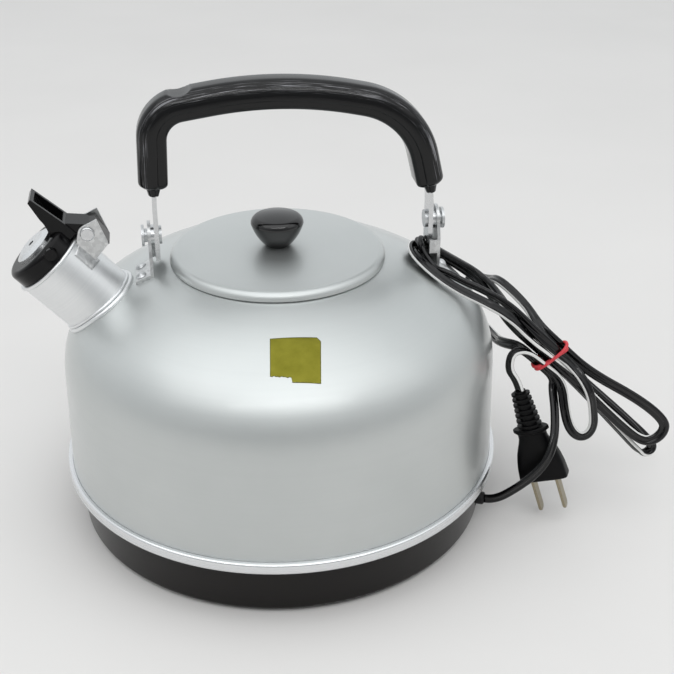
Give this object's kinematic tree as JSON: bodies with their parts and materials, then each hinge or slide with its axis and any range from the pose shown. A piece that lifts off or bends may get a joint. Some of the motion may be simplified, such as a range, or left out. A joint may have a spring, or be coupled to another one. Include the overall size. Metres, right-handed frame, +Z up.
{
  "type": "electric whistling kettle",
  "caption": "Spun aluminium electric kettle with domed shoulder, lift-off lid, short spout under a lever whistle cap, bail handle, heated base and a lead tied in a hank.",
  "frame": {"origin": "on the table under the vessel's axis, at the middle foot's lower face", "axes": "+Z up, +X from the spout to the rear handle ear and the lead, +Y to the left of someone facing +X"},
  "size_m": [0.3219, 0.223, 0.2249],
  "materials": {
    "satin_aluminium": "satin",
    "bright_aluminium": "polished",
    "zinc_steel": "zinc plated",
    "steel": "plain",
    "black_gloss": "gloss",
    "black_satin": "satin",
    "black_rubber": "matt",
    "cord_black": "satin",
    "red_band": "satin",
    "ceramic": "matt",
    "wire_sleeve": "woven sleeve",
    "plated_blade": "nickel plated"
  },
  "bodies": {
    "kettle": {"kettle_shell": "satin_aluminium", "vessel_bottom": "bright_aluminium", "base_housing": "black_satin", "base_feet": "black_rubber", "base_pillars": "steel", "base_screws": "zinc_steel", "heating_element": "steel", "element_clamp": "zinc_steel", "clamp_stud": "steel", "clamp_nut": "zinc_steel", "thermal_cutout": "ceramic", "terminal_block": "ceramic", "inner_wires": "wire_sleeve", "spout_tube": "satin_aluminium", "spout_collar": "satin_aluminium", "whistle_bracket": "zinc_steel", "hinge_pin": "steel", "front_ear": "zinc_steel", "rear_ear": "zinc_steel", "front_ear_rivets": "bright_aluminium", "rear_ear_rivets": "bright_aluminium", "pivot_rivets": "steel", "pivot_washers": "zinc_steel", "cord_grommet": "black_rubber", "base_lead": "cord_black", "cord_hank": "cord_black", "plug_lead": "cord_black", "cord_tie": "red_band", "plug_body": "black_rubber", "plug_blades": "plated_blade"},
    "handle": {"handle_grip": "black_gloss", "handle_strap": "zinc_steel"},
    "lid": {"lid_cover": "satin_aluminium", "lid_sleeve": "satin_aluminium", "lid_knob": "black_gloss", "knob_screw": "zinc_steel"},
    "whistle": {"whistle_lever": "black_satin", "whistle_cap": "black_satin", "whistle_disc": "bright_aluminium", "whistle_plate": "bright_aluminium"}
  },
  "joints": [
    {"name": "handle_swing", "type": "hinge", "parent": "kettle", "child": "handle", "pos_m": [0, 0, 0.1505], "axis": [1, 0, 0], "range_deg": [-14, 14]},
    {"name": "lid_lift", "type": "slide", "parent": "kettle", "child": "lid", "axis": [0, 0, 1], "range_m": [0, 0.03]},
    {"name": "whistle_flip", "type": "hinge", "parent": "kettle", "child": "whistle", "pos_m": [-0.08973, 0, 0.15637], "axis": [0, 1, 0], "range_deg": [0, 34]}
  ]
}
